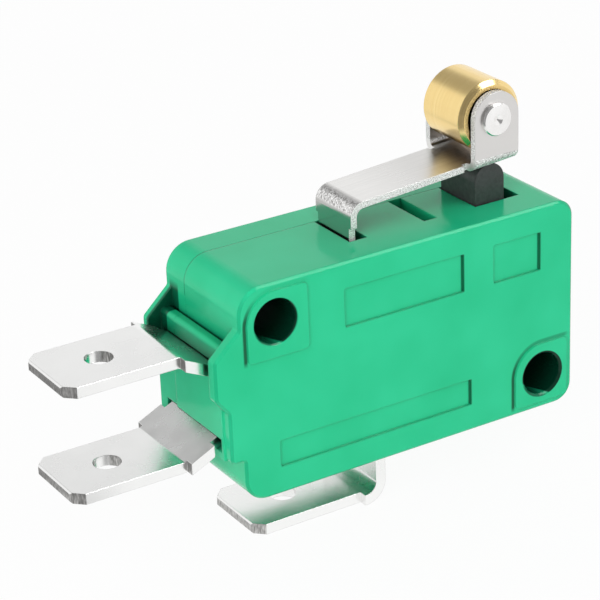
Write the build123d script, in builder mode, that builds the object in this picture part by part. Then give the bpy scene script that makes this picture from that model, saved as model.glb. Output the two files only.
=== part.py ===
"""Lever micro switch: a 27.8 x 15.9 x 10.3 mm snap switch with a roller lever and three tabs."""
from build123d import *
from math import cos, pi, radians, sin, tan
import os

os.makedirs("parts", exist_ok=True)

# Frame, in millimetres: the origin is on the lower right mounting hole's axis at mid thickness,
# +X points from the tabs to the roller, +Y from the front face to the back, +Z up.

# Body
hole_edge = 2.8
hole_pitch_x = 22.2
hole_pitch_z = 10.3
body_length = hole_pitch_x + 2 * hole_edge
body_height = hole_pitch_z + 2 * hole_edge
body_thickness = 10.3
hole_radius = 1.6
hole_chamfer = 0.15
wall = 1.3
plate = 0.85
pad_height = 0.15
seam_y = 2.3
plate_edge_chamfer = 0.18
corner_top_left = 1.9
corner_bottom_left = 1.7
corner_right = 1.4
boss_radius = 2.75

# Terminal end of the body, heights above the underside
ear_reach = 2.0
ear_top_drop = 2.85
ear_shoulder_drop = 4.7
ear_top = body_height - ear_top_drop
ear_shoulder = body_height - ear_shoulder_drop
ear_foot = 8.4
lip_reach = 1.05
lip_top = 7.2
lip_foot = 3.35
ledge_reach = 1.0
ledge_drop = 4.15
ledge_foot_drop = 6.0
ledge_height = body_height - ledge_drop
ledge_foot = body_height - ledge_foot_drop
ledge_fillet = 0.35
groove_width = 0.25
groove_depth = 0.5
block_reach = 1.15

# Pads round the mounting holes, from each hole's axis
pad_corner = 0.4
pad_arc = 2.35
pad_taper = 10
upper_pad = (-2.25, -2.65, 2.6, 2.3)
lower_pad = (-2.4, -2.3, 2.3, 2.45)

# Shallow panels of the front face, from the body's lower left corner
panel_depth = 0.18
panel_corner = 0.15
long_panel = (8.35, 11.1, 18.2, 13.95)
square_panel_inset = 2.95
square_panel_width = 4.05
square_panel_right = body_length - square_panel_inset
square_panel = (square_panel_right - square_panel_width, 11.05, square_panel_right, 13.95)
low_panel = (2.8, 2.1, 18.75, 4.1)

# Plunger and the openings in the top wall, from the left end
plunger_inset = 5.25
plunger_x = body_length - plunger_inset
plunger_width = 2.5
plunger_depth = 4.2
opening_half_width = 2.25
opening_left_reach = 1.35
opening_right_reach = 2.45
plunger_opening = (plunger_x - opening_left_reach, plunger_x + opening_right_reach)
hinge_slot = (10.6, 12.05)
spare_slot_width = 1.1
spare_slot_gap = 3.3
spare_slot_right = plunger_opening[0] - spare_slot_gap
spare_slot = (spare_slot_right - spare_slot_width, spare_slot_right)

# Tabs
sheet = 0.8
tab_width = 6.35
tab_length = 8.4
tab_chamfer = 0.8
tab_bevel = 0.12
tab_hole_radius = 1.0
tab_hole_from_tip = 4.05
root_width = 7.6
root_slope = 25.0
bend_radius = 0.35
lower_tab_drop = 3.17
root_bend_from_wall = 3.6
shoulder_from_bend = 0.1
root_end_from_wall = 1.65
neck_width = 6.4
strip_width = 5.0
strip_end = 6.1
slot_clearance = 0.05
slot_mouth_depth = 0.55

# Post of the common terminal
fulcrum_height = 7.0
fulcrum_rise = 3.2
drive_fulcrum_height = fulcrum_height + fulcrum_rise
post_face = 11.25
post_margin = 0.8
post_top = drive_fulcrum_height + post_margin
post_shoulder = 4.4
post_width = 6.4
post_window_half_width = 1.5
post_window_drop = 2.2
post_window_foot = fulcrum_height - post_window_drop
post_window_head = drive_fulcrum_height - post_margin
post_bend_radius = 0.9
lower_tab_tip = 1.6
lower_tab_shoulder = 10.3
notch_depth = 0.2
notch_half_height = 0.28
knife_clearance = 0.03
post_seat_width = 1.3
post_seat_height = 2.3

# Side tabs, whose heights follow the arm's fulcrum
upper_tab_rise = 4.53
middle_tab_drop = 3.33
upper_tab_top = fulcrum_height + upper_tab_rise
middle_tab_top = fulcrum_height - middle_tab_drop

# Snap mechanism
arm_thickness = 0.35
arm_reach = 7.1
arm_swing = 3.0
arm_width = 6.0
arm_end_width = 3.2
arm_end_past_contact = 1.5
arm_wide_length = 5.0
arm_window_length = 4.2
arm_hook_from_contact = 2.35
arm_hook_from_fulcrum = arm_reach - arm_hook_from_contact
knife_length = 0.3
contact_radius = 1.5
contact_head = 0.8
contact_shank_radius = 0.8
contact_crown = 0.14
contact_gap = 0.03
moving_contact_radius = 1.4
moving_shank_radius = 0.7
moving_contact_thickness = 1.3
drive_thickness = 0.4
drive_rise = 0.5
drive_width = 4.0
drive_overhang = 1.45
drive_end = plunger_x + drive_overhang
drive_nose_length = 1.1
tongue_setback = 3.55
tongue_x = plunger_x - tongue_setback
tongue_width = 1.3
tongue_drop = 3.25
tongue_foot = drive_fulcrum_height - tongue_drop
tongue_hole_margin = 0.65
tongue_hole_height = tongue_foot + tongue_hole_margin
tongue_window_length = 3.3
hook_hole_radius = 0.33

# Coil spring
wire_radius = 0.16
wire_sides = 6
coil_radius = 0.95
hook_radius = 0.62
hook_lead = 0.75
coil_turns = 7
turn_steps = 12

# Flange, nib and guides of the plunger
flange_left_lap = 0.9
flange_right_lap = 0.5
flange_span = (plunger_opening[0] - flange_left_lap, plunger_opening[1] + flange_right_lap)
flange_thickness = 0.9
flange_gap = 0.08
nib_width = 1.3
nib_depth = 2.0
nib_gap = 0.05
guide_width = 0.75
guide_above_drive = 0.7
guide_gap = 0.08

# Lever, roller and rivet
lever_sheet = 0.5
lever_width = 4.5
lever_tilt = 4.0
pivot_x = 11.0
pivot_drop = 0.9
lever_rise = 3.05
leg_fold_radius = 0.6
hook_fold_radius = 0.2
lever_plunger_gap = 0.05
foot_width = 3.95
foot_shoulder_above_case = 0.85
hook_reach = 1.3
hook_below_pivot = 1.2
roller_setback = 0.07
roller_x = plunger_x - roller_setback
roller_rise = 6.53
roller_height = body_height + roller_rise
roller_radius = 2.6
roller_width = 4.8
roller_side_gap = 0.1
roller_edge = 0.32
roller_rim = 1.95
roller_recess = 0.3
roller_hub_radius = 1.3
ear_gap = roller_width + 2 * roller_side_gap
ear_radius = 1.87
ear_rise = 0.1
ear_left = plunger_x - ear_radius
ear_right = plunger_x + ear_radius
ear_fold_radius = 0.35
relief_length = 0.4
relief_overlap = 0.06
relief_depth = 0.3
rivet_radius = 0.75
rivet_running_gap = 0.05
rivet_head_radius = 1.2
rivet_head = 0.3
rivet_head_edge = 0.1
rivet_dimple_radius = 0.4
rivet_dimple_depth = 0.2

# Cover pegs
peg_radius = 0.6
peg_length = 1.6
peg_gap = 0.05
peg_boss_radius = 1.3
left_peg = (2.2, 2.2)
right_peg_inset = 1.6
right_peg_height = 8.6
peg_places = (left_peg, (body_length - right_peg_inset, right_peg_height))

# Derived places
left_end = -(hole_edge + hole_pitch_x)
right_end = left_end + body_length
underside = -hole_edge
top_side = underside + body_height
upper_hole = (-hole_pitch_x, hole_pitch_z)
lower_hole = (0, 0)
half_thickness = body_thickness / 2
main_face = half_thickness - pad_height
inner_face = main_face - plate
pad_radii = (pad_arc, pad_corner, pad_corner, pad_corner)


def at_x(from_left_end):
    """Place along X, measured from the left end of the body."""
    return left_end + from_left_end


def at_z(above_underside):
    """Height, measured from the underside of the body."""
    return underside + above_underside


peg_centres = [(at_x(x), at_z(z)) for x, z in peg_places]


def side_view(y):
    """Plane of the side view at depth y, from which extrusions run to the front."""
    return Plane.XZ.offset(-y)


def outline(points, radii):
    """Face inside a closed outline with rounded corners, in the sketch being drawn."""
    with BuildLine() as edge:
        FilletPolyline(*points, radius=radii, close=True)
    make_face(edge.edges())


def strip(points, radius, width):
    """Face of constant width along a folded middle line, in the sketch being drawn."""
    with BuildLine() as middle:
        FilletPolyline(*points, radius=radius)
    trace(middle.edges(), line_width=width)


def rectangle(x_low, z_low, x_high, z_high, mode=Mode.ADD):
    """Rectangle between two corners of the side view, in the sketch being drawn."""
    with Locations(((x_low + x_high) / 2, (z_low + z_high) / 2)):
        Rectangle(x_high - x_low, z_high - z_low, mode=mode)


def body_outline():
    """Plain outline of the body, without the ears."""
    outline(
        ((left_end, top_side), (right_end, top_side), (right_end, underside), (left_end, underside)),
        (corner_top_left, corner_right, corner_right, corner_bottom_left),
    )


def plate_outline():
    """Outline of the front and back plates, whose left edge guards the terminals."""
    outline(
        (
            (left_end, top_side),
            (right_end, top_side),
            (right_end, underside),
            (left_end, underside),
            (left_end, at_z(lip_foot)),
            (left_end - lip_reach, at_z(lip_foot)),
            (left_end - lip_reach, at_z(lip_top)),
            (left_end - ear_reach, at_z(ear_foot)),
            (left_end - ear_reach, at_z(ear_shoulder)),
            (left_end, at_z(ear_top)),
        ),
        (corner_top_left, corner_right, corner_right, corner_bottom_left, 0.2, 0.35, 0.5, 0.5, 0.4, 0.3),
    )


def framed(frame, radii, place):
    """Rounded rectangle of the side view, from its corners measured from a place."""
    x_low, x_high = place[0] + frame[0], place[0] + frame[2]
    z_low, z_high = place[1] + frame[1], place[1] + frame[3]
    outline(((x_low, z_high), (x_high, z_high), (x_high, z_low), (x_low, z_low)), radii)


# Places that the mechanism sets: each strip stands off the moving contact at one end of its swing
fulcrum_x = at_x(post_face) + notch_depth - knife_clearance
fulcrum_z = at_z(fulcrum_height)
drive_fulcrum_x = at_x(post_face) + sheet - notch_depth + knife_clearance
drive_fulcrum_z = at_z(drive_fulcrum_height)
arm_run = Vector(-cos(radians(arm_swing)), 0, sin(radians(arm_swing)))
arm_rise = Vector(sin(radians(arm_swing)), 0, cos(radians(arm_swing)))
arm_side = Plane(origin=(fulcrum_x, 0, fulcrum_z), x_dir=arm_run, z_dir=(0, 1, 0))
arm_plan = Plane(origin=(fulcrum_x, 0, fulcrum_z), x_dir=arm_run, z_dir=arm_rise)
contact_x = fulcrum_x + arm_reach * arm_run.X
contact_stand_off = arm_reach * arm_run.Z + moving_contact_thickness / 2 + contact_gap
upper_strip_middle = fulcrum_z + contact_stand_off + contact_head + sheet / 2
lower_strip_middle = fulcrum_z - contact_stand_off - contact_head - sheet / 2
root_bend_x = left_end - root_bend_from_wall
side_tab_tip = root_bend_x - tab_length
side_tab_shoulder = root_bend_x + shoulder_from_bend
lower_tab_middle = underside - lower_tab_drop - sheet / 2
post_middle = at_x(post_face) + sheet / 2
drive_top = drive_fulcrum_z + drive_rise
drive_low = drive_top - drive_thickness
guide_foot = drive_top + guide_above_drive

# Places that the lever sets: the plunger's round top lies under the tilted blade
pivot = Vector(at_x(pivot_x), 0, top_side - pivot_drop)
tilt = radians(lever_tilt)
blade_run = Vector(cos(tilt), 0, sin(tilt))
blade_middle = lever_rise + lever_sheet / 2
plunger_centre_x = at_x(plunger_x)
plunger_top_radius = plunger_width / 2
plunger_reach = (plunger_centre_x - pivot.X) * sin(tilt)
plunger_stand_off = plunger_top_radius + lever_plunger_gap
plunger_centre_z = pivot.Z + (lever_rise + plunger_reach - plunger_stand_off) / cos(tilt)
ceiling = top_side - wall
ear_outer = ear_gap / 2 + lever_sheet
roller_centre = (at_x(roller_x), 0, at_z(roller_height))
roller_axis = Axis(roller_centre, (0, 1, 0))
roller_section = Plane(origin=roller_centre, x_dir=(0, 1, 0), z_dir=(1, 0, 0))


def blade_height(x):
    """Height of the middle of the lever's blade at a place along X."""
    return pivot.Z + (blade_middle + (x - pivot.X) * sin(tilt)) / cos(tilt)


def side_terminal(tab_top, strip_middle, width):
    """Side view of a tab at the end of the body: tab, sloped root and contact strip."""
    tab_middle = at_z(tab_top) - sheet / 2
    root_run = abs(tab_middle - strip_middle) / tan(radians(root_slope))
    points = (
        (side_tab_tip, tab_middle),
        (root_bend_x, tab_middle),
        (root_bend_x + root_run, strip_middle),
        (at_x(strip_end), strip_middle),
    )
    strip(points, bend_radius + sheet / 2, width)


def tab_plan(tip, steps):
    """Plan of a terminal: chamfered and pierced tab, then steps of (end, half width)."""
    half = tab_width / 2
    points = [(tip, 0), (tip, half - tab_chamfer), (tip + tab_chamfer, half)]
    width_before = half
    x_before = tip
    for end, half_width in steps:
        if half_width != width_before:
            points.append((x_before, half_width))
        points.append((end, half_width))
        x_before = end
        width_before = half_width
    points.append((x_before, 0))
    with BuildLine() as half_plan:
        Polyline(*points)
        mirror(about=Plane.XZ)
    make_face(half_plan.edges())
    with Locations((tip + tab_hole_from_tip, 0)):
        Circle(tab_hole_radius, mode=Mode.SUBTRACT)


def side_tab_plan():
    """Plan of a side terminal, with the hole for its contact's shank."""
    steps = (
        (side_tab_shoulder, tab_width / 2),
        (left_end - root_end_from_wall, root_width / 2),
        (left_end + wall, neck_width / 2),
        (at_x(strip_end), strip_width / 2),
    )
    tab_plan(side_tab_tip, steps)
    with Locations((contact_x, 0)):
        Circle(contact_shank_radius, mode=Mode.SUBTRACT)


def wall_section(reach):
    """Ring of the walls and bosses seen from the front, with a block that stands out at the end."""
    body_outline()
    ledge = (
        (left_end - ledge_reach, at_z(ledge_height)),
        (left_end + wall, at_z(ledge_height)),
        (left_end + wall, at_z(ledge_foot)),
        (left_end - ledge_reach, at_z(ledge_foot)),
    )
    outline(ledge, (ledge_fillet, 0, 0, 0))
    groove_foot = at_z(ledge_height) - groove_depth
    rectangle(left_end - groove_width, groove_foot, left_end, at_z(ledge_height), Mode.SUBTRACT)
    rectangle(left_end - reach, at_z(lip_foot), left_end, at_z(ledge_foot))
    with BuildSketch(mode=Mode.PRIVATE) as cavity:
        rectangle(left_end + wall, underside + wall, right_end - wall, ceiling)
        with Locations(upper_hole, lower_hole):
            Circle(boss_radius, mode=Mode.SUBTRACT)
        with Locations(*peg_centres):
            Circle(peg_boss_radius, mode=Mode.SUBTRACT)
    add(cavity.sketch, mode=Mode.SUBTRACT)


def side_slots(end):
    """Slots of the two side terminals, seen from the front, as far as a place along X."""
    side_terminal(upper_tab_top, upper_strip_middle, sheet + 2 * slot_clearance)
    side_terminal(middle_tab_top, lower_strip_middle, sheet + 2 * slot_clearance)
    rectangle(end, underside, at_x(strip_end) + sheet, top_side, Mode.SUBTRACT)


def post_slot():
    """Slot of the common terminal's post, seen from the front."""
    rectangle(
        at_x(post_face) - slot_clearance,
        underside - wall,
        at_x(post_face) + sheet + slot_clearance,
        underside + wall + post_seat_height,
    )


# Case: front plate, walls, ears, slots and seats, in one moulding
with BuildPart() as case:
    with BuildSketch(side_view(-inner_face)):
        plate_outline()
    extrude(amount=plate)
    chamfer(case.faces().sort_by(Axis.Y)[0].edges(), plate_edge_chamfer)
    with BuildSketch(side_view(-main_face)):
        framed(upper_pad, pad_radii, upper_hole)
        framed(lower_pad, pad_radii, lower_hole)
    extrude(amount=pad_height, taper=pad_taper)
    with BuildSketch(side_view(panel_depth - main_face)):
        for panel in (long_panel, square_panel, low_panel):
            framed(panel, panel_corner, (left_end, underside))
    extrude(amount=panel_depth, mode=Mode.SUBTRACT)
    with BuildSketch(side_view(seam_y)):
        wall_section(block_reach)
        rectangle(
            at_x(post_face) - post_seat_width,
            underside + wall,
            at_x(post_face) + sheet + post_seat_width,
            underside + wall + post_seat_height,
        )
        rectangle(
            at_x(flange_span[0]) - guide_gap - guide_width,
            guide_foot,
            at_x(flange_span[0]) - guide_gap,
            ceiling,
        )
        rectangle(
            at_x(flange_span[1]) + guide_gap,
            guide_foot,
            right_end - wall,
            ceiling,
        )
    extrude(amount=seam_y + inner_face)
    with BuildSketch(side_view(seam_y)):
        side_slots(left_end + 2 * wall)
    extrude(amount=seam_y + neck_width / 2 + slot_clearance, mode=Mode.SUBTRACT)
    with BuildSketch(side_view(seam_y)):
        side_slots(left_end + slot_mouth_depth)
        post_slot()
    extrude(amount=seam_y + root_width / 2 + slot_clearance, mode=Mode.SUBTRACT)
    with BuildSketch(side_view(seam_y)):
        for opening in (hinge_slot, spare_slot, plunger_opening):
            rectangle(at_x(opening[0]), ceiling, at_x(opening[1]), top_side)
    extrude(amount=seam_y + opening_half_width, mode=Mode.SUBTRACT)
    with BuildSketch(side_view(seam_y)):
        with Locations(*peg_centres):
            Circle(peg_radius + peg_gap)
    extrude(amount=peg_length + peg_gap, mode=Mode.SUBTRACT)
    with BuildSketch(side_view(seam_y)):
        with Locations(upper_hole, lower_hole):
            Circle(hole_radius)
    extrude(amount=seam_y + half_thickness, mode=Mode.SUBTRACT)
    mouths = case.edges().filter_by(GeomType.CIRCLE).group_by(Axis.Y)[0]
    chamfer(mouths.filter_by(lambda edge: abs(edge.radius - hole_radius) < 0.01), hole_chamfer)
case.part.label = "case"
export_step(case.part, "parts/case.step")

# Cover: back plate with ears, rim and pegs, in one moulding
with BuildPart() as cover:
    with BuildSketch(side_view(main_face)):
        plate_outline()
    extrude(amount=plate)
    chamfer(cover.faces().sort_by(Axis.Y)[-1].edges(), plate_edge_chamfer)
    with BuildSketch(side_view(main_face)):
        framed(upper_pad, pad_radii, upper_hole)
        framed(lower_pad, pad_radii, lower_hole)
    extrude(amount=-pad_height, taper=pad_taper)
    with BuildSketch(side_view(inner_face)):
        wall_section(lip_reach)
    extrude(amount=inner_face - seam_y)
    with BuildSketch(side_view(neck_width / 2 + slot_clearance)):
        side_slots(left_end + 2 * wall)
    extrude(amount=neck_width / 2 + slot_clearance - seam_y, mode=Mode.SUBTRACT)
    with BuildSketch(side_view(root_width / 2 + slot_clearance)):
        side_slots(left_end + slot_mouth_depth)
        post_slot()
    extrude(amount=root_width / 2 + slot_clearance - seam_y, mode=Mode.SUBTRACT)
    with BuildSketch(side_view(seam_y)):
        with Locations(*peg_centres):
            Circle(peg_radius)
    extrude(amount=peg_length)
    with BuildSketch(side_view(half_thickness)):
        with Locations(upper_hole, lower_hole):
            Circle(hole_radius)
    extrude(amount=half_thickness - seam_y, mode=Mode.SUBTRACT)
    mouths = cover.edges().filter_by(GeomType.CIRCLE).group_by(Axis.Y)[-1]
    chamfer(mouths.filter_by(lambda edge: abs(edge.radius - hole_radius) < 0.01), hole_chamfer)
cover.part.label = "cover"
export_step(cover.part, "parts/cover.step")

# Upper side terminal, whose strip carries the normally closed contact
with BuildPart() as nc_terminal:
    with BuildSketch(side_view(0)):
        side_terminal(upper_tab_top, upper_strip_middle, sheet)
    extrude(amount=root_width / 2, both=True)
    with BuildSketch(Plane.XY.offset(underside)):
        side_tab_plan()
    extrude(amount=body_height, mode=Mode.INTERSECT)
    chamfer(nc_terminal.faces().sort_by(Axis.X)[0].edges().filter_by(Axis.Y), tab_bevel)
nc_terminal.part.label = "nc_terminal"
export_step(nc_terminal.part, "parts/nc_terminal.step")

# Middle side terminal, whose strip carries the normally open contact
with BuildPart() as no_terminal:
    with BuildSketch(side_view(0)):
        side_terminal(middle_tab_top, lower_strip_middle, sheet)
    extrude(amount=root_width / 2, both=True)
    with BuildSketch(Plane.XY.offset(underside)):
        side_tab_plan()
    extrude(amount=body_height, mode=Mode.INTERSECT)
    chamfer(no_terminal.faces().sort_by(Axis.X)[0].edges().filter_by(Axis.Y), tab_bevel)
no_terminal.part.label = "no_terminal"
export_step(no_terminal.part, "parts/no_terminal.step")

# Common terminal: tab under the body, folded up into a windowed post with a notch on each face
with BuildPart() as com_terminal:
    with BuildSketch(side_view(0)):
        path = ((at_x(lower_tab_tip), lower_tab_middle), (post_middle, lower_tab_middle))
        strip((*path, (post_middle, at_z(post_top))), post_bend_radius + sheet / 2, sheet)
    extrude(amount=root_width / 2, both=True)
    with BuildSketch(Plane.XY.offset(lower_tab_middle - sheet)):
        steps = ((at_x(lower_tab_shoulder), tab_width / 2), (at_x(post_face) + 2 * sheet, root_width / 2))
        tab_plan(at_x(lower_tab_tip), steps)
    extrude(amount=body_height + lower_tab_drop, mode=Mode.INTERSECT)
    with BuildSketch(Plane.YZ.offset(post_middle)):
        with Locations((0, at_z((post_window_foot + post_window_head) / 2))):
            Rectangle(2 * post_window_half_width, post_window_head - post_window_foot)
        with Locations((root_width / 2, at_z(post_top)), (-root_width / 2, at_z(post_top))):
            Rectangle(root_width - post_width, 2 * (post_top - post_shoulder))
    extrude(amount=sheet, both=True, mode=Mode.SUBTRACT)
    with BuildSketch(side_view(0)):
        for face, height, inwards in (
            (at_x(post_face), fulcrum_z, notch_depth),
            (at_x(post_face) + sheet, drive_fulcrum_z, -notch_depth),
        ):
            with BuildLine() as notch:
                Polyline(
                    (face, height - notch_half_height),
                    (face + inwards, height),
                    (face, height + notch_half_height),
                    close=True,
                )
            make_face(notch.edges())
    extrude(amount=root_width / 2, both=True, mode=Mode.SUBTRACT)
    chamfer(com_terminal.faces().sort_by(Axis.X)[0].edges().filter_by(Axis.Y), tab_bevel)
com_terminal.part.label = "com_terminal"
export_step(com_terminal.part, "parts/com_terminal.step")


def contact_rivet(face_z, strip_z, towards):
    """Half section of a fixed contact: crowned head towards the arm, shank through the strip."""
    with BuildLine() as half_section:
        Polyline(
            (0, face_z),
            (contact_radius, face_z + towards * contact_crown),
            (contact_radius, strip_z),
            (contact_shank_radius, strip_z),
            (contact_shank_radius, strip_z + towards * sheet),
            (0, strip_z + towards * sheet),
            (0, face_z),
        )
    make_face(half_section.edges())


contact_section = Plane(origin=(contact_x, 0, fulcrum_z), x_dir=(1, 0, 0), z_dir=(0, -1, 0))
contact_axis = Axis((contact_x, 0, fulcrum_z), (0, 0, 1))

# Normally closed contact, riveted under the upper strip
with BuildPart() as nc_contact:
    with BuildSketch(contact_section):
        contact_rivet(contact_stand_off, contact_stand_off + contact_head, 1)
    revolve(axis=contact_axis)
nc_contact.part.label = "nc_contact"
export_step(nc_contact.part, "parts/nc_contact.step")

# Normally open contact, riveted on the middle strip
with BuildPart() as no_contact:
    with BuildSketch(contact_section):
        contact_rivet(-contact_stand_off, -contact_stand_off - contact_head, -1)
    revolve(axis=contact_axis)
no_contact.part.label = "no_contact"
export_step(no_contact.part, "parts/no_contact.step")

# Contact arm: forked blade with knife ends, at rest tipped up against the upper contact
with BuildPart() as contact_arm:
    with BuildSketch(arm_plan):
        arm_end = arm_reach + arm_end_past_contact
        with BuildLine() as half_arm:
            Polyline(
                (0, 0),
                (0, arm_width / 2),
                (arm_wide_length, arm_width / 2),
                (arm_wide_length + (arm_width - arm_end_width) / 2, arm_end_width / 2),
                (arm_end, arm_end_width / 2),
                (arm_end, 0),
            )
            mirror(about=Plane.XZ)
        make_face(half_arm.edges())
        with Locations((arm_window_length / 2, 0)):
            Rectangle(arm_window_length, 2 * post_window_half_width, mode=Mode.SUBTRACT)
        with Locations((arm_hook_from_fulcrum, 0)):
            Circle(hook_hole_radius, mode=Mode.SUBTRACT)
        with Locations((arm_reach, 0)):
            Circle(moving_shank_radius, mode=Mode.SUBTRACT)
    extrude(amount=arm_thickness / 2, both=True)
    with BuildSketch(arm_side):
        with BuildLine() as knife:
            Polyline(
                (0, 0),
                (knife_length, arm_thickness / 2),
                (arm_end, arm_thickness / 2),
                (arm_end, -arm_thickness / 2),
                (knife_length, -arm_thickness / 2),
                close=True,
            )
        make_face(knife.edges())
    extrude(amount=arm_width / 2, both=True, mode=Mode.INTERSECT)
contact_arm.part.label = "contact_arm"
export_step(contact_arm.part, "parts/contact_arm.step")

# Moving contact: double-faced rivet through the arm
with BuildPart() as moving_contact:
    with BuildSketch(Plane(origin=arm_side.origin + arm_run * arm_reach, x_dir=arm_run, z_dir=(0, 1, 0))):
        crown = moving_contact_thickness / 2
        with BuildLine() as upper_half:
            Polyline(
                (0, crown),
                (moving_contact_radius, crown - contact_crown),
                (moving_contact_radius, arm_thickness / 2),
                (moving_shank_radius, arm_thickness / 2),
                (moving_shank_radius, 0),
                (0, 0),
                (0, crown),
            )
        make_face(upper_half.edges())
        mirror(about=Plane.XZ)
    revolve(axis=Axis(arm_side.origin + arm_run * arm_reach, arm_rise))
moving_contact.part.label = "moving_contact"
export_step(moving_contact.part, "parts/moving_contact.step")

# Drive lever: stamped strip with a knife end, pressed by the plunger, its tongue pulls the spring
with BuildPart() as drive_lever:
    with BuildSketch(side_view(0)):
        with BuildLine() as profile:
            Polyline(
                (drive_fulcrum_x, drive_fulcrum_z),
                (drive_fulcrum_x + knife_length, drive_fulcrum_z + drive_thickness / 2),
                (drive_fulcrum_x + drive_nose_length, drive_top),
                (at_x(drive_end), drive_top),
                (at_x(drive_end), drive_low),
                (drive_fulcrum_x + drive_nose_length, drive_low),
                (drive_fulcrum_x + knife_length, drive_fulcrum_z - drive_thickness / 2),
                close=True,
            )
        make_face(profile.edges())
    extrude(amount=drive_width / 2, both=True)
    with BuildSketch(Plane.XY.offset(drive_low)):
        with Locations((at_x(tongue_x) - (drive_thickness + tongue_window_length) / 2, 0)):
            Rectangle(tongue_window_length, tongue_width)
    extrude(amount=drive_thickness, mode=Mode.SUBTRACT)
    with BuildSketch(Plane.YZ.offset(at_x(tongue_x))):
        tongue_low = at_z(tongue_foot)
        with Locations((0, (tongue_low + drive_top) / 2)):
            Rectangle(tongue_width, drive_top - tongue_low)
        with Locations((0, at_z(tongue_hole_height))):
            Circle(hook_hole_radius, mode=Mode.SUBTRACT)
    extrude(amount=drive_thickness / 2, both=True)
drive_lever.part.label = "drive_lever"
export_step(drive_lever.part, "parts/drive_lever.step")

# Coil spring: the hooks pass through the arm's hole and the tongue's hole
arm_hole = arm_side.origin + arm_run * arm_hook_from_fulcrum
left_hook = Vector(arm_hole.X + hook_radius, 0, arm_hole.Z)
right_hook = Vector(at_x(tongue_x), 0, at_z(tongue_hole_height) - hook_radius)
spring_run = (right_hook - left_hook).normalized()
coil_length = (right_hook - left_hook).length - 2 * hook_radius - 2 * hook_lead
coil_foot = left_hook + spring_run * (hook_radius + hook_lead)
coil_frame = Plane(origin=coil_foot, x_dir=(0, 1, 0), z_dir=spring_run)
coil_steps = coil_turns * turn_steps
coil_path = [left_hook + spring_run * hook_radius]
for step in range(coil_steps + 1):
    turned = 2 * pi * step / turn_steps
    place = Vector(coil_radius * cos(turned), coil_radius * sin(turned), coil_length * step / coil_steps)
    coil_path.append(coil_frame.from_local_coords(place))
coil_path.append(right_hook - spring_run * hook_radius)
with BuildPart() as coil_spring:
    with BuildLine() as coil:
        Polyline(*coil_path)
    with BuildSketch(Plane(origin=coil.wire() @ 0, z_dir=coil.wire() % 0)):
        RegularPolygon(wire_radius, wire_sides)
    sweep(path=coil.wire(), transition=Transition.RIGHT)
    for hook in (left_hook, right_hook):
        with BuildSketch(Plane(origin=hook, x_dir=(1, 0, 0), z_dir=(0, 0, 1))):
            with Locations((hook_radius, 0)):
                RegularPolygon(wire_radius, wire_sides)
        revolve(axis=Axis(hook, (0, 1, 0)))
coil_spring.part.label = "coil_spring"
export_step(coil_spring.part, "parts/coil_spring.step")

# Plunger: round-topped key, stop flange under the top wall, nib on the drive lever
with BuildPart() as plunger:
    with BuildSketch(side_view(0)):
        with Locations((plunger_centre_x, plunger_centre_z)):
            Circle(plunger_top_radius)
        flange_top = ceiling - flange_gap
        rectangle(
            plunger_centre_x - plunger_top_radius,
            flange_top - flange_thickness,
            plunger_centre_x + plunger_top_radius,
            plunger_centre_z,
        )
        rectangle(
            at_x(flange_span[0]),
            flange_top - flange_thickness,
            at_x(flange_span[1]),
            flange_top,
        )
    extrude(amount=plunger_depth / 2, both=True)
    with BuildSketch(side_view(0)):
        nib_centre = drive_top + nib_gap + nib_width / 2
        with Locations((plunger_centre_x, nib_centre)):
            Circle(nib_width / 2)
        rectangle(
            plunger_centre_x - nib_width / 2,
            nib_centre,
            plunger_centre_x + nib_width / 2,
            flange_top - flange_thickness,
        )
    extrude(amount=nib_depth / 2, both=True)
plunger.part.label = "plunger"
export_step(plunger.part, "parts/plunger.step")

# Lever: one folded sheet, hook and leg in the hinge slot, blade over the plunger, two ears
with BuildPart() as lever:
    across_blade = Plane(
        origin=(at_x(ear_left) - ear_gap, 0, blade_height(at_x(ear_left) - ear_gap)),
        x_dir=(0, 1, 0),
        z_dir=blade_run,
    )
    with BuildSketch(across_blade):
        ear_middle = ear_gap / 2 + lever_sheet / 2
        ear_stock = 2 * lever_rise + 2 * roller_radius
        corners = ((-ear_middle, ear_stock), (-ear_middle, 0), (ear_middle, 0), (ear_middle, ear_stock))
        strip(corners, ear_fold_radius + lever_sheet / 2, lever_sheet)
    extrude(amount=2 * ear_gap + ear_right - ear_left)
    with BuildSketch(side_view(0)):
        ear_centre_z = roller_centre[2] + ear_rise
        with Locations((plunger_centre_x, ear_centre_z)):
            Circle(ear_radius)
        blade_low = blade_height(at_x(ear_left)) - lever_sheet
        rectangle(at_x(ear_left), blade_low, at_x(ear_right), ear_centre_z)
        with Locations((roller_centre[0], roller_centre[2])):
            Circle(rivet_radius, mode=Mode.SUBTRACT)
    extrude(amount=ear_outer, both=True, mode=Mode.INTERSECT)
    with BuildSketch(side_view(0)):
        hook_z = pivot.Z - hook_below_pivot
        blade_end = at_x(ear_left) + relief_overlap
        strip(
            (
                (pivot.X + hook_reach, hook_z),
                (pivot.X, hook_z),
                (pivot.X, blade_height(pivot.X)),
                (blade_end, blade_height(blade_end)),
            ),
            (hook_fold_radius + lever_sheet / 2, leg_fold_radius + lever_sheet / 2),
            lever_sheet,
        )
    extrude(amount=lever_width / 2, both=True)
    with BuildSketch(Plane.XY.offset(hook_z - lever_sheet)):
        for side in (-1, 1):
            with Locations((pivot.X, side * lever_width / 2)):
                Rectangle(2 * hook_reach + lever_sheet * 2, lever_width - foot_width)
    extrude(amount=top_side + foot_shoulder_above_case - hook_z + lever_sheet, mode=Mode.SUBTRACT)
    with BuildSketch(Plane.XY.offset(top_side)):
        for side in (-1, 1):
            with Locations((at_x(ear_left) - relief_length / 2, side * lever_width / 2)):
                Rectangle(relief_length, 2 * relief_depth)
    extrude(amount=roller_centre[2] - top_side, mode=Mode.SUBTRACT)
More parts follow.
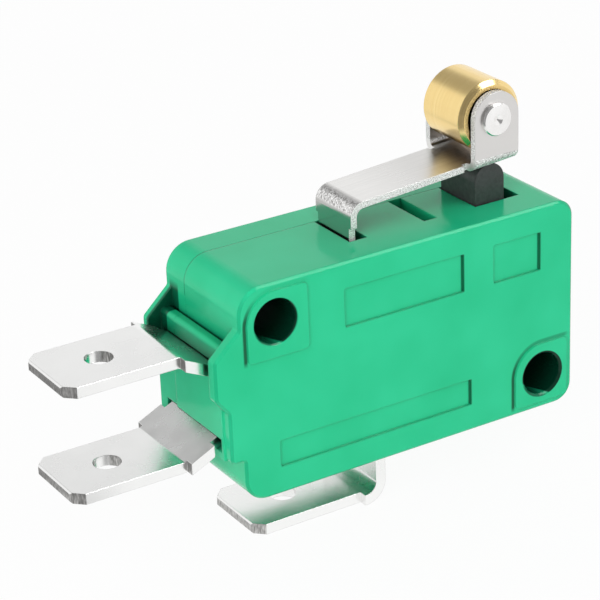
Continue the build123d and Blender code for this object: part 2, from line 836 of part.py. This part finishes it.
lever.part.label = "lever"
export_step(lever.part, "parts/lever.step")

# Roller: turned, with chamfered rims and a recess at each end
with BuildPart() as roller:
    with BuildSketch(roller_section):
        half = roller_width / 2
        bore = rivet_radius + rivet_running_gap
        with BuildLine() as half_turning:
            Polyline(
                (0, bore),
                (half, bore),
                (half, roller_hub_radius),
                (half - roller_recess, roller_hub_radius),
                (half - roller_recess, roller_rim),
                (half, roller_rim),
                (half, roller_radius - roller_edge),
                (half - roller_edge, roller_radius),
                (0, roller_radius),
            )
            mirror(about=Plane.YZ)
        make_face(half_turning.edges())
    revolve(axis=roller_axis)
roller.part.label = "roller"
export_step(roller.part, "parts/roller.step")

# Roller pin: rivet through both ears, with a head at each end and a dimple at the front
with BuildPart() as roller_pin:
    with BuildSketch(roller_section):
        tail = ear_outer + rivet_head
        with BuildLine() as rivet_half:
            Polyline(
                (rivet_dimple_depth - tail, 0),
                (-tail, rivet_dimple_radius),
                (-tail, rivet_head_radius - rivet_head_edge),
                (rivet_head_edge - tail, rivet_head_radius),
                (-ear_outer, rivet_head_radius),
                (-ear_outer, rivet_radius),
                (ear_outer, rivet_radius),
                (ear_outer, rivet_head_radius),
                (tail - rivet_head_edge, rivet_head_radius),
                (tail, rivet_head_radius - rivet_head_edge),
                (tail, 0),
                close=True,
            )
        make_face(rivet_half.edges())
    revolve(axis=roller_axis)
roller_pin.part.label = "roller_pin"
export_step(roller_pin.part, "parts/roller_pin.step")
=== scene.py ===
"""Looks of the lever micro switch: finishes, pale floor, soft studio light and the camera."""
from math import cos, radians, sin

import bpy
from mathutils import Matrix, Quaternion, Vector


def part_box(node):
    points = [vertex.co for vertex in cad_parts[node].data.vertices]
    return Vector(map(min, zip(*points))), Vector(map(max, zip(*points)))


# Camera: a long lens from the terminal end, a little above, fitted to the photograph
CAMERA_AZIMUTH = -30.85
CAMERA_ELEVATION = 24.34
CAMERA_ROLL = -2.37
CAMERA_DISTANCE = 0.16728
CAMERA_AIM = Vector((-0.01518, 0.00338, 0.00689))
LENS = 140.52
SENSOR = 36.0

# Floor, in metres, and the edges of the dark patches that only reflections see
FLOOR_SIZE = 3.0
FLOOR_GAP = 0.00002
FLOOR_WHITE_SHARE = 0.94
FLOOR_LEFT_EDGE = -0.032
FLOOR_FRONT_EDGE = -0.009
FLOOR_BACK_EDGES = (0.011, 0.044)
FLOOR_BLUR = 0.004

# Studio as reflections show it: white wall, grey ceiling, darker front side and a bright spot
WALL_TOP = 0.5
CEILING_FOOT = 0.58
CEILING_LEVEL = 0.42
FRONT_AZIMUTH = radians(-31)
FRONT_LEVEL = 0.3
FRONT_EDGES = (0.62, 0.78)
WORLD_LEVEL = 0.5
SPOT = Vector((0.467, -0.412, 0.782))
SPOT_EDGES = (0.945, 0.975)
SPOT_LEVEL = 7.0

# Lamps: name, place from the camera's aim and size in metres, and power in watts
LAMPS = (
    ("key", (-0.27, -0.36, 0.22), 0.5, 1.85),
    ("side", (-0.45, -0.1, 0.12), 0.3, 0.32),
    ("fill", (0.34, 0.34, 0.2), 0.3, 0.5),
)

MILLIMETRE = 0.001

# Places on the part, in millimetres of its frame; a hole is given across and up
UPPER_HOLE = (-22.2, 10.3)
LOWER_HOLE = (0.0, 0.0)
SEAM = 2.3
SEAM_SHADE = 0.6
SEAM_WIDTHS = (0.02, 0.06)
FRONT_SIDE = -4.5
MAIN_FACE = 4.96
RIM_FACE = 5.15
UNDERSIDE = -2.5
BAR_TOP = 10.4

# End block above the terminals, and the niche in it, both darkened by painted shade
LEDGE_END = -24.7
LEDGE_FOOT = 6.6
NICHE_DEPTHS = (3.25, 4.4)
NICHE_HEIGHTS = (6.9, 10.6)
NICHE_END = -24.85
NICHE_SHADE = 0.8

# Raised pads: left, low, right and top from their hole, and the line of painted shade round their
# step
UPPER_PAD = (-2.25, -2.65, 2.6, 2.3)
LOWER_PAD = (-2.4, -2.3, 2.3, 2.45)
PAD_ARC = 2.35
PAD_LINE = 0.27
PAD_LINE_SHADE = 0.9
PAD_LINE_FADE = (0.6, 2.0)
PAD_TOP_SHARES = (0.1, 0.5)
PAD_BLUR = 0.2

# Sunk panels of the front: left, low, right and high, and the lines of painted shade at their steps
PANELS = ((-16.65, 8.3, -6.8, 11.15), (-4.2, 8.25, -0.15, 11.15), (-22.2, -0.7, -6.25, 1.3))
PANEL_SIDE = 0.03
PANEL_SIDE_SHADE = 0.85
PANEL_SIDE_WIDTHS = (0.05, 0.13)
PANEL_FOOT_SHADE = 0.25
PANEL_FOOT_WIDTHS = (0.03, 0.1)
PANEL_BLUR = 0.05

# Bores: radius of the painted dark rim, painted shade in depth, and the lower wall painted lighter
# where light reaches in
UPPER_RIM = 1.67
LOWER_RIM = 1.78
RIM_BLUR = 0.05
BORE_SHADE = 0.96
BORE_FADE = 0.85
LIT_SIDE = (0.5, 0.87)
LIT_WALL = 1.3
LIT_LENGTH = 1.7
LIT_BLUR = 0.2
LIT_SHADE = 0.72

# Lever: its fold over the hinge, how far the blade is shiny, and the ears with their folds
FOLD = -13.2
BLADE_SHINE_END = (-12.0, -7.0)
EAR_START = -4.45
EAR_FOLD_TOP = 16.9

# Terminals: all tips lie left of TAB_TIPS, and the lower tab under LOW_TAB_TOP
TAB_TIPS = -20.0
TAB_HALF = 3.175
LOW_TAB_TOP = -3.0
LOW_TAB_DISH = 0.45
LOW_TAB_CURVE = 1.5

# Shares of a look: how strong it is where its mask is full
# UPRIGHT_EDGE_SHADE is the lightness of the painted shade on the green's upright edges
UPRIGHT_EDGE_SHADE = 0.72
CREASE_SHARE = 0.8
CUT_DULLNESS = 0.6
CUT_ROUGHNESS = 0.2

# How squarely a surface has to face an axis, as edge and blur
UPRIGHT_EDGE_FACING = (0.5, 0.15)
BEND_FACINGS = ((0.4, 0.15), (0.965, -0.03))
LEG_FACING = (0.97, 0.02)
EAR_FOLD_FACING = (-0.12, -0.08)
UNDER_FACING = (-0.4, -0.2)


def srgb(red, green, blue):
    """Linear colour, with an alpha of 1, from 0 to 255 values as a screen shows them."""
    def linear(value):
        share = value / 255
        return share / 12.92 if share <= 0.04045 else ((share + 0.055) / 1.055) ** 2.4
    return (linear(red), linear(green), linear(blue), 1.0)


class Finish:
    """A node material around one Principled shader, with short ways to add its textures."""

    def __init__(self, name):
        self.material = bpy.data.materials.new(name)
        self.material.use_nodes = True
        self.tree = self.material.node_tree
        self.shader = self.tree.nodes["Principled BSDF"]
        coordinates = self.node("ShaderNodeTexCoord")
        self.place = coordinates.outputs["Object"]
        self.surface = coordinates.outputs["Normal"]

    def node(self, kind, **settings):
        """A new node with the given settings."""
        made = self.tree.nodes.new(kind)
        for key, value in settings.items():
            setattr(made, key, value)
        return made

    def link(self, source, target):
        """Joins an output to an input."""
        self.tree.links.new(source, target)

    def plain(self, **values):
        """Sets sockets of the shader that are the same all over."""
        for key, value in values.items():
            self.shader.inputs[key.replace("_", " ")].default_value = value

    def stretched(self, along):
        """Object coordinates scaled per axis, for grain that runs one way."""
        mapping = self.node("ShaderNodeMapping")
        mapping.inputs["Scale"].default_value = along
        self.link(self.place, mapping.inputs["Vector"])
        return mapping.outputs["Vector"]

    def noise(self, size_mm, detail=3.0, roughness=0.55, place=None):
        """Noise whose blotches are about size_mm across."""
        texture = self.node("ShaderNodeTexNoise")
        texture.inputs["Scale"].default_value = 1 / (size_mm * MILLIMETRE)
        texture.inputs["Detail"].default_value = detail
        texture.inputs["Roughness"].default_value = roughness
        self.link(place or self.place, texture.inputs["Vector"])
        return texture.outputs["Fac"]

    def between(self, factor, low, high, start=0.3, end=0.7):
        """A value that goes from low to high as the factor goes from start to end."""
        spread = self.node("ShaderNodeMapRange")
        spread.inputs["From Min"].default_value = start
        spread.inputs["From Max"].default_value = end
        spread.inputs["To Min"].default_value = low
        spread.inputs["To Max"].default_value = high
        self.link(factor, spread.inputs["Value"])
        return spread.outputs["Result"]

    def tint(self, factor, low, high, start=0.3, end=0.7):
        """A colour that goes from low to high as the factor goes from start to end."""
        ramp = self.node("ShaderNodeValToRGB")
        ramp.color_ramp.elements[0].position = start
        ramp.color_ramp.elements[0].color = low
        ramp.color_ramp.elements[1].position = end
        ramp.color_ramp.elements[1].color = high
        self.link(factor, ramp.inputs["Fac"])
        return ramp.outputs["Color"]

    def relief(self, height, depth_mm, strength=1.0, under=None):
        """Bump from a height, over the normal of what lies under it."""
        bump = self.node("ShaderNodeBump")
        bump.inputs["Distance"].default_value = depth_mm * MILLIMETRE
        bump.inputs["Strength"].default_value = strength
        self.link(height, bump.inputs["Height"])
        if under:
            self.link(under, bump.inputs["Normal"])
        return bump.outputs["Normal"]

    def soft_edges(self, radius_mm):
        """Normal with edges that look rounded."""
        bevel = self.node("ShaderNodeBevel", samples=6)
        bevel.inputs["Radius"].default_value = radius_mm * MILLIMETRE
        return bevel.outputs["Normal"]

    def math(self, operation, first, second=0.0):
        """One Math node on sockets or plain numbers."""
        step = self.node("ShaderNodeMath", operation=operation)
        for socket, value in zip(step.inputs, (first, second)):
            if isinstance(value, (int, float)):
                socket.default_value = value
            else:
                self.link(value, socket)
        return step.outputs["Value"]

    def product(self, first, *others):
        """Sockets or plain numbers multiplied together."""
        for other in others:
            first = self.math("MULTIPLY", first, other)
        return first

    def rest(self, share):
        """What a share leaves of 1."""
        return self.math("SUBTRACT", 1.0, share)

    def past(self, place, edge, blur):
        """1 beyond an edge, on the side that the blur's sign gives, and 0 before it."""
        return self.between(place, 0.0, 1.0, edge - blur, edge + blur)

    def axes(self, source):
        """The three components of a vector."""
        parts = self.node("ShaderNodeSeparateXYZ")
        self.link(source, parts.inputs["Vector"])
        return parts.outputs["X"], parts.outputs["Y"], parts.outputs["Z"]

    def millimetres(self):
        """Object coordinates in millimetres, one output per axis."""
        return [self.product(axis, 1 / MILLIMETRE) for axis in self.axes(self.place)]

    def length(self, first, second):
        """Length of the hypotenuse over two sides."""
        squares = [self.math("POWER", self.math("ABSOLUTE", side), 2.0) for side in (first, second)]
        return self.math("SQRT", self.math("ADD", *squares))

    def pad_step_shade(self, hole, pad, across, up, top_share):
        """Painted shade: a thin line along the left side, arc and top of a raised pad's step,
        fainter at the top.
        """
        left, low, right, top = pad
        from_hole = self.math("SUBTRACT", across, hole[0] + left + PAD_ARC)
        above_hole = self.math("SUBTRACT", up, hole[1] + top - PAD_ARC)
        reach = self.length(self.math("MINIMUM", from_hole, 0.0),
                            self.math("MAXIMUM", above_hole, 0.0))
        off_line = self.math("ABSOLUTE", self.math("SUBTRACT", reach, PAD_ARC + PAD_LINE / 2))
        line = self.between(off_line, 1.0, 0.0, PAD_LINE * 0.3, PAD_LINE * 0.7)
        inside = self.product(self.past(up, hole[1] + low, PAD_BLUR),
                              self.past(across, hole[0] + right, -PAD_BLUR))
        share = self.between(above_hole, 1.0, top_share, *PAD_LINE_FADE)
        return self.product(line, share, inside)

    def panel_step_shade(self, panel, across, depth, up):
        """Painted shade of a sunk panel's right side, and more faintly of its foot."""
        left, low, right, high = panel
        beside = self.math("ABSOLUTE", self.math("SUBTRACT", across, right - PANEL_SIDE))
        side = self.product(self.past(up, low, PANEL_BLUR), self.past(up, high, -PANEL_BLUR),
                            self.between(beside, PANEL_SIDE_SHADE, 0.0, *PANEL_SIDE_WIDTHS))
        above = self.math("ABSOLUTE", self.math("SUBTRACT", up, low))
        foot = self.product(self.past(across, left, PANEL_BLUR),
                            self.past(across, right, -PANEL_BLUR),
                            self.between(above, PANEL_FOOT_SHADE, 0.0, *PANEL_FOOT_WIDTHS))
        front = self.math("LESS_THAN", depth, FRONT_SIDE)
        return self.rest(self.product(self.math("MAXIMUM", side, foot), front))

    def bore_painted_shade(self, hole, radius, across, inset, up):
        """Painted shade in a bore: dark from its rim on, and less dark where its lower wall starts,
        a painted patch of light.
        """
        below = self.math("SUBTRACT", hole[1], up)
        aside = self.math("SUBTRACT", across, hole[0])
        within = self.between(self.length(aside, below), 1.0, 0.0, radius, radius + RIM_BLUR)
        lit_lower_wall = self.math("SUBTRACT", self.product(below, LIT_SIDE[1]),
                          self.product(aside, LIT_SIDE[0]))
        lit_lower_wall = self.past(lit_lower_wall, LIT_WALL, LIT_BLUR)
        place = self.math("ADD", inset, self.product(lit_lower_wall, LIT_LENGTH))
        dark = self.between(place, 0.0, BORE_SHADE, RIM_FACE + BORE_FADE, RIM_FACE)
        dark = self.math("MAXIMUM", dark, self.product(lit_lower_wall, LIT_SHADE))
        return self.product(dark, within)

    def facing(self):
        """How squarely the surface faces each axis, from 0 to 1."""
        return [self.math("ABSOLUTE", axis) for axis in self.axes(self.surface)]

    def blend(self, factor, low, high):
        """A colour between two colours, either of which may be an output."""
        mix = self.node("ShaderNodeMix", data_type="RGBA")
        for socket, value in ((mix.inputs[0], factor), (mix.inputs[6], low), (mix.inputs[7], high)):
            if isinstance(value, tuple):
                socket.default_value = value
            else:
                self.link(value, socket)
        return mix.outputs[2]

    def openness(self, reach_mm):
        """Ambient openness, from 0 in deep corners to 1 in the open."""
        corner = self.node("ShaderNodeAmbientOcclusion", samples=12)
        corner.inputs["Distance"].default_value = reach_mm * MILLIMETRE
        return corner.outputs["AO"]

    def colour(self, output):
        """Gives the shader its colour."""
        self.link(output, self.shader.inputs["Base Color"])

    def roughness(self, output):
        """Gives the shader its roughness."""
        self.link(output, self.shader.inputs["Roughness"])

    def normal(self, output):
        """Gives the shader its normal."""
        self.link(output, self.shader.inputs["Normal"])


def corner_shade(finish, across, up):
    """Lightness of the painted shade on the green: 1 in the open and on the underside, less in deep
    corners, by the end block and on upright edges.
    """
    openness = finish.openness(5.0)
    # Painted shade: darker where the ambient occlusion finds deep corners, and beside the end block
    painted_corner_shade = finish.between(openness, 0.1, 1.0, 0.1, 0.4)
    end_block_shade = finish.product(finish.past(across, LEDGE_END, -0.3),
                              finish.past(up, LEDGE_FOOT, 0.2),
                              finish.between(openness, 0.55, 0.0, 0.3, 0.85))
    painted_corner_shade = finish.product(painted_corner_shade, finish.rest(end_block_shade))
    painted_corner_shade = finish.math("MAXIMUM", painted_corner_shade, finish.past(up, UNDERSIDE, -0.2))
    endways, sideways, _ = finish.facing()
    shaded_upright_edge = finish.product(finish.past(endways, *UPRIGHT_EDGE_FACING),
                                  finish.past(sideways, *UPRIGHT_EDGE_FACING))
    return finish.product(painted_corner_shade, finish.between(shaded_upright_edge, 1.0, UPRIGHT_EDGE_SHADE, 0.0, 1.0))


def seam_shade(finish, depth, up):
    """Lightness at the seam between case and cover, which shows on the top alone."""
    from_seam = finish.math("ABSOLUTE", finish.math("SUBTRACT", depth, SEAM))
    seam = finish.between(from_seam, SEAM_SHADE, 1.0, *SEAM_WIDTHS)
    return finish.math("MAXIMUM", seam, finish.past(up, BAR_TOP, -0.1))


def niche_shade(finish, across, depth, up):
    """Lightness of the painted shade in the niche of the end block."""
    deep = finish.math("SUBTRACT", *(finish.past(depth, edge, 0.08) for edge in NICHE_DEPTHS))
    high = finish.math("SUBTRACT", *(finish.past(up, edge, 0.3) for edge in NICHE_HEIGHTS))
    niche = finish.product(deep, high, finish.past(across, NICHE_END, -0.15))
    return finish.rest(finish.product(niche, NICHE_SHADE))


def line_shade(finish, across, depth, inset, up, seam):
    """Lightness along the seam's dark joint, and painted shade along the steps of the pads and
    panels.
    """
    pads = zip((UPPER_HOLE, LOWER_HOLE), (UPPER_PAD, LOWER_PAD), PAD_TOP_SHARES)
    pad_shades = [finish.pad_step_shade(hole, pad, across, up, top_share)
                for hole, pad, top_share in pads]
    pad_shade = finish.product(finish.math("MAXIMUM", *pad_shades),
                             finish.past(inset, MAIN_FACE, 0.02))
    line = finish.product(finish.rest(finish.product(pad_shade, PAD_LINE_SHADE)), seam)
    for panel in PANELS:
        line = finish.math("MINIMUM", line, finish.panel_step_shade(panel, across, depth, up))
    return line


def moulded_green():
    """Glossy green moulding: faint flow clouds, fine pits, a seam, and painted shade in corners,
    the niche, the bores and at the steps of pads and panels.
    """
    finish = Finish("green_moulding")
    across, depth, up = finish.millimetres()
    inset = finish.math("ABSOLUTE", depth)
    clouds = finish.tint(finish.noise(6.0, detail=2.0), srgb(31, 190, 135), srgb(42, 200, 146))
    seam = seam_shade(finish, depth, up)
    line = line_shade(finish, across, depth, inset, up, seam)
    # Painted shade in the bores and in a thin ring on the face round their rims
    bore_shades = [finish.bore_painted_shade(hole, radius, across, inset, up)
             for hole, radius in ((UPPER_HOLE, UPPER_RIM), (LOWER_HOLE, LOWER_RIM))]
    # Painted shade of corners, the niche and the bores, which darkens the colour towards a near
    # black green
    shade = finish.product(corner_shade(finish, across, up),
                           niche_shade(finish, across, depth, up),
                           finish.rest(finish.math("MAXIMUM", *bore_shades)))
    # Lines take a dark green: the seam's dark joint and the painted shade at the steps of pads and
    # panels
    lined = finish.blend(line, srgb(0, 70, 42), clouds)
    finish.colour(finish.blend(shade, srgb(0, 22, 14), lined))
    finish.roughness(finish.between(finish.noise(1.4), 0.13, 0.2))
    finish.plain(IOR=1.3)
    pits = finish.relief(finish.noise(0.3, detail=4.0), 0.005, 0.5, finish.soft_edges(0.14))
    waves = finish.relief(finish.noise(3.0, detail=1.0), 0.015, 0.2, pits)
    finish.normal(finish.relief(seam, 0.05, 0.4, waves))
    return finish.material


def black_moulding():
    """Black key of the plunger, finely mottled."""
    finish = Finish("black_moulding")
    mottle = finish.noise(0.3, detail=3.0)
    finish.colour(finish.tint(mottle, srgb(42, 44, 44), srgb(58, 60, 60)))
    finish.roughness(finish.between(finish.noise(0.5), 0.38, 0.55))
    finish.normal(finish.relief(mottle, 0.006, 0.4, finish.soft_edges(0.1)))
    return finish.material


def rolled_steel():
    """Satin stainless sheet: faint rolling grain, grainy sheared edges, creased folds, and painted
    shade on the leg and under the ears.
    """
    finish = Finish("rolled_steel")
    across, _, up = finish.millimetres()
    endways, sideways, _ = finish.facing()
    upwards = finish.axes(finish.surface)[2]
    past_fold = finish.past(across, FOLD, -0.25)
    # Painted shade on the upright leg past the fold
    leg_shade = finish.product(finish.past(endways, *LEG_FACING), past_fold)
    bend = finish.product(*(finish.past(endways, *edge) for edge in BEND_FACINGS), past_fold)
    at_ears = finish.math("GREATER_THAN", across, EAR_START)
    ear_fold = finish.product(finish.past(upwards, *EAR_FOLD_FACING), at_ears,
                              finish.math("LESS_THAN", up, EAR_FOLD_TOP))
    bend = finish.math("MAXIMUM", bend, ear_fold)
    on_ear = finish.product(at_ears, finish.math("GREATER_THAN", up, EAR_FOLD_TOP))
    # Painted shade under the ears: their downward faces
    under = finish.product(finish.past(upwards, *UNDER_FACING), on_ear)
    ear_edge = finish.between(sideways, 1.0, 0.0, 0.1, 0.4)
    blade_edge = finish.between(sideways, 0.0, 1.0, 0.75, 0.9)
    cut = finish.math("ADD", finish.product(ear_edge, on_ear),
                      finish.product(blade_edge, finish.rest(on_ear)))

    grain = finish.noise(1.0, detail=5.0, place=finish.stretched((0.12, 9.0, 2.0)))
    sheet = finish.tint(grain, srgb(230, 229, 227), srgb(242, 241, 239))
    sheet = finish.blend(on_ear, sheet, srgb(221, 219, 217))
    sheared = finish.tint(finish.noise(0.09, detail=3.0), srgb(164, 162, 159),
                          srgb(250, 250, 249), 0.36, 0.58)
    creased = finish.tint(finish.noise(0.15, detail=3.0), srgb(128, 126, 124),
                          srgb(252, 252, 251), 0.36, 0.62)
    shown = finish.blend(cut, sheet, sheared)
    shown = finish.blend(finish.product(bend, CREASE_SHARE), shown, creased)
    # Painted shade: the upright leg is coloured a darker grey, and the ears' undersides dark grey
    shown = finish.blend(leg_shade, shown, srgb(188, 187, 185))
    finish.colour(finish.blend(under, shown, srgb(92, 88, 86)))

    smooth = finish.math("ADD", finish.between(grain, 0.0, 0.06),
                         finish.between(across, 0.16, 0.3, *BLADE_SHINE_END))
    finish.roughness(finish.math("ADD", smooth, finish.product(cut, CUT_ROUGHNESS)))
    dull = finish.product(finish.math("MAXIMUM", cut, ear_fold), CUT_DULLNESS)
    finish.link(finish.rest(dull), finish.shader.inputs["Metallic"])
    rolled = finish.relief(grain, 0.002, 0.2, finish.soft_edges(0.07))
    peel = finish.product(finish.noise(0.2, detail=3.0), finish.math("MAXIMUM", cut, bend))
    finish.normal(finish.relief(peel, 0.02, 0.6, rolled))
    return finish.material


def rivet_steel():
    """Bright steel of the rivet, with faint turning rings."""
    finish = Finish("rivet_steel")
    rings = finish.noise(0.5, detail=4.0, place=finish.stretched((0.3, 4.0, 0.3)))
    finish.colour(finish.tint(rings, srgb(236, 235, 233), srgb(250, 249, 248)))
    finish.roughness(finish.between(finish.noise(0.4), 0.14, 0.2))
    finish.plain(Metallic=1.0)
    finish.normal(finish.relief(finish.noise(0.25), 0.006, 0.3, finish.soft_edges(0.04)))
    return finish.material


def tinned_sheet():
    """Bright tin over brass: nearly smooth faces, a painted highlight on the side faces, streaked
    sheared tips and a dished lower tab.
    """
    finish = Finish("tinned_sheet")
    across, depth, up = finish.millimetres()
    endways, sideways, upwards = finish.facing()
    clouds = finish.noise(2.5, detail=4.0)
    sheet = finish.tint(clouds, srgb(240, 240, 239), srgb(248, 248, 247))
    # Painted highlight: faces that face the sides are coloured nearly white
    side = finish.between(sideways, 0.0, 1.0, 0.8, 0.95)
    sheet_with_side_highlight = finish.blend(side, sheet, srgb(250, 250, 249))
    streaks = finish.noise(0.1, detail=3.0, place=finish.stretched((1.0, 1.0, 0.2)))
    sheared = finish.tint(streaks, srgb(142, 141, 139), srgb(214, 213, 211), 0.36, 0.64)
    tip = finish.product(finish.between(endways, 0.0, 1.0, 0.5, 0.65),
                         finish.math("LESS_THAN", across, TAB_TIPS),
                         finish.between(upwards, 1.0, 0.0, 0.3, 0.6))
    finish.colour(finish.blend(tip, sheet_with_side_highlight, sheared))
    smooth = finish.between(clouds, 0.2, 0.3)
    finish.roughness(finish.math("ADD", smooth, finish.product(tip, CUT_ROUGHNESS)))
    finish.plain(Metallic=1.0)
    skin = finish.relief(finish.noise(0.3, detail=3.0), 0.002, 0.12, finish.soft_edges(0.08))
    waves = finish.relief(finish.noise(4.0, detail=1.0), 0.02, 0.15, skin)
    low_tab = finish.product(finish.math("LESS_THAN", up, LOW_TAB_TOP), upwards)
    slope = finish.between(depth, 0.0, 1.0, -TAB_HALF, TAB_HALF)
    droop = finish.math("POWER", slope, LOW_TAB_CURVE)
    dish = finish.product(finish.rest(droop), low_tab)
    finish.normal(finish.relief(dish, LOW_TAB_DISH, 1.0, waves))
    return finish.material


def turned_brass():
    """Turned brass with very fine rings round its axis, and painted shade in deep corners."""
    finish = Finish("turned_brass")
    rings = finish.noise(1.0, detail=6.0, place=finish.stretched((0.05, 24.0, 0.05)))
    brass = finish.tint(rings, srgb(242, 209, 138), srgb(252, 227, 163))
    # Painted shade: darker brown where the ambient occlusion finds deep corners
    painted_corner_shade = finish.between(finish.openness(2.5), 0.15, 1.0, 0.2, 0.8)
    finish.colour(finish.blend(painted_corner_shade, srgb(92, 58, 18), brass))
    finish.roughness(finish.between(rings, 0.17, 0.24))
    finish.plain(Metallic=1.0)
    finish.normal(finish.relief(rings, 0.0015, 0.25, finish.soft_edges(0.07)))
    return finish.material


def contact_silver():
    """Silver alloy of the contact faces."""
    finish = Finish("contact_silver")
    finish.colour(finish.tint(finish.noise(0.6), srgb(214, 212, 206), srgb(235, 233, 228)))
    finish.roughness(finish.between(finish.noise(0.4), 0.25, 0.42))
    finish.plain(Metallic=1.0)
    finish.normal(finish.relief(finish.noise(0.2), 0.004, 0.3, finish.soft_edges(0.05)))
    return finish.material


def dress(frame):
    """Gives every node its finish."""
    finishes = {
        moulded_green: ("case", "cover"),
        black_moulding: ("plunger",),
        rolled_steel: ("lever", "drive_lever", "coil_spring"),
        rivet_steel: ("roller_pin",),
        tinned_sheet: ("com_terminal", "nc_terminal", "no_terminal"),
        turned_brass: ("roller", "contact_arm"),
        contact_silver: ("nc_contact", "no_contact", "moving_contact"),
    }
    for make, nodes in finishes.items():
        material = make()
        for name in nodes:
            mesh = frame["nodes"][name].data
            mesh.materials.clear()
            mesh.materials.append(material)


def seen_directly(finish):
    """1 for camera, glossy and transmission rays, and 1 for glossy rays alone."""
    path = finish.node("ShaderNodeLightPath")
    glossy = path.outputs["Is Glossy Ray"]
    seen = finish.math("MAXIMUM", path.outputs["Is Camera Ray"], glossy)
    return finish.math("MAXIMUM", seen, path.outputs["Is Transmission Ray"]), glossy


def front_side(studio, across, along):
    """1 on the studio's darker front side, from a direction."""
    length = studio.math("SQRT", studio.math("ADD", studio.product(across, across),
                                             studio.product(along, along)))
    towards = studio.math("ADD", studio.product(across, sin(FRONT_AZIMUTH)),
                          studio.product(along, -cos(FRONT_AZIMUTH)))
    return studio.between(studio.math("DIVIDE", towards, length), 0.0, 1.0, *FRONT_EDGES)


def build_floor(height):
    """Pale floor that keeps the shadow and looks white, but for dark patches in reflections."""
    bpy.ops.mesh.primitive_plane_add(size=FLOOR_SIZE, location=(0, 0, height))
    floor = bpy.context.object
    floor.name = "floor"
    finish = Finish("pale_floor")
    finish.colour(finish.tint(finish.noise(40.0), srgb(244, 244, 244), srgb(248, 248, 248)))
    finish.roughness(finish.between(finish.noise(9.0), 0.75, 0.85))
    seen, glossy = seen_directly(finish)
    across, along, _ = finish.axes(finish.place)
    left = finish.past(across, FLOOR_LEFT_EDGE, -FLOOR_BLUR)
    front = finish.past(along, FLOOR_FRONT_EDGE, -FLOOR_BLUR)
    back = finish.math("SUBTRACT", *(finish.past(along, edge, FLOOR_BLUR)
                                     for edge in FLOOR_BACK_EDGES))
    dark = finish.product(left, finish.math("ADD", front, back), glossy)
    white = finish.node("ShaderNodeEmission")
    finish.link(finish.rest(finish.product(dark, 1 - FRONT_LEVEL)), white.inputs["Strength"])
    mix = finish.node("ShaderNodeMixShader")
    finish.link(finish.product(seen, FLOOR_WHITE_SHARE), mix.inputs["Fac"])
    finish.link(finish.shader.outputs[0], mix.inputs[1])
    finish.link(white.outputs[0], mix.inputs[2])
    finish.link(mix.outputs[0], finish.tree.nodes["Material Output"].inputs["Surface"])
    floor.data.materials.append(finish.material)


class Studio(Finish):
    """The world's node tree, with the same short ways."""

    def __init__(self, name):
        world = bpy.data.worlds.new(name)
        world.use_nodes = True
        bpy.context.scene.world = world
        self.tree = world.node_tree
        self.background = self.tree.nodes["Background"]
        self.place = self.node("ShaderNodeTexCoord").outputs["Generated"]


def build_world():
    """White to the camera, the studio in reflections, and a plain level of light elsewhere."""
    studio = Studio("studio")
    seen, glossy = seen_directly(studio)
    across, along, up = studio.axes(studio.place)
    wall = studio.between(up, 1.0, CEILING_LEVEL, WALL_TOP, CEILING_FOOT)
    front = studio.between(front_side(studio, across, along), 1.0, FRONT_LEVEL, 0.0, 1.0)
    nearness = studio.node("ShaderNodeVectorMath", operation="DOT_PRODUCT")
    studio.link(studio.place, nearness.inputs[0])
    nearness.inputs[1].default_value = SPOT
    spot = studio.between(nearness.outputs["Value"], 0.0, SPOT_LEVEL, *SPOT_EDGES)
    shown = studio.math("ADD", studio.math("MINIMUM", wall, front), spot)
    shown = studio.product(shown, glossy)
    direct = studio.math("SUBTRACT", seen, glossy)
    level = studio.product(studio.rest(seen), WORLD_LEVEL)
    total = studio.math("ADD", studio.math("ADD", shown, direct), level)
    studio.background.inputs["Color"].default_value = (1, 1, 1, 1)
    studio.link(total, studio.background.inputs["Strength"])


def add_lamp(name, place, aim, size, power):
    """Soft area lamp that faces a point, and that reflections don't show."""
    lamp = bpy.data.lights.new(name, "AREA")
    lamp.size = size
    lamp.energy = power
    holder = bpy.data.objects.new(name, lamp)
    holder.location = place
    holder.visible_glossy = False
    holder.rotation_euler = (Vector(aim) - Vector(place)).to_track_quat("-Z", "Y").to_euler()
    bpy.context.scene.collection.objects.link(holder)


def place_camera():
    """Camera at the photograph's viewing angle."""
    azimuth = radians(CAMERA_AZIMUTH)
    elevation = radians(CAMERA_ELEVATION)
    back = Vector((
        sin(azimuth) * cos(elevation),
        -cos(azimuth) * cos(elevation),
        sin(elevation),
    ))
    data = bpy.data.cameras.new("camera")
    data.lens = LENS
    data.sensor_width = SENSOR
    data.clip_start = 0.01
    camera = bpy.data.objects.new("camera", data)
    camera.location = CAMERA_AIM + back * CAMERA_DISTANCE
    camera.rotation_mode = "QUATERNION"
    turn = back.to_track_quat("Z", "Y")
    camera.rotation_quaternion = turn @ Quaternion((0, 0, 1), radians(CAMERA_ROLL))
    bpy.context.scene.collection.objects.link(camera)
    bpy.context.scene.camera = camera


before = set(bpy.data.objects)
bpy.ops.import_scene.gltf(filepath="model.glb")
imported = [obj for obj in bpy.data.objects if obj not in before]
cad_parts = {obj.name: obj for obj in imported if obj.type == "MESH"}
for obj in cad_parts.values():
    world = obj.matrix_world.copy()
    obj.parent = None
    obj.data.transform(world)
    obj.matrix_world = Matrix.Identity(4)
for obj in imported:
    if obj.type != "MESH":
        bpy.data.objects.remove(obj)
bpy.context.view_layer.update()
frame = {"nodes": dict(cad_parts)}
place_camera()
dress(frame)
build_floor(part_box("com_terminal")[0].z - FLOOR_GAP)
build_world()
for name, offset, size, power in LAMPS:
    add_lamp(name, CAMERA_AIM + Vector(offset), CAMERA_AIM, size, power)
bpy.context.scene.view_settings.view_transform = "Standard"
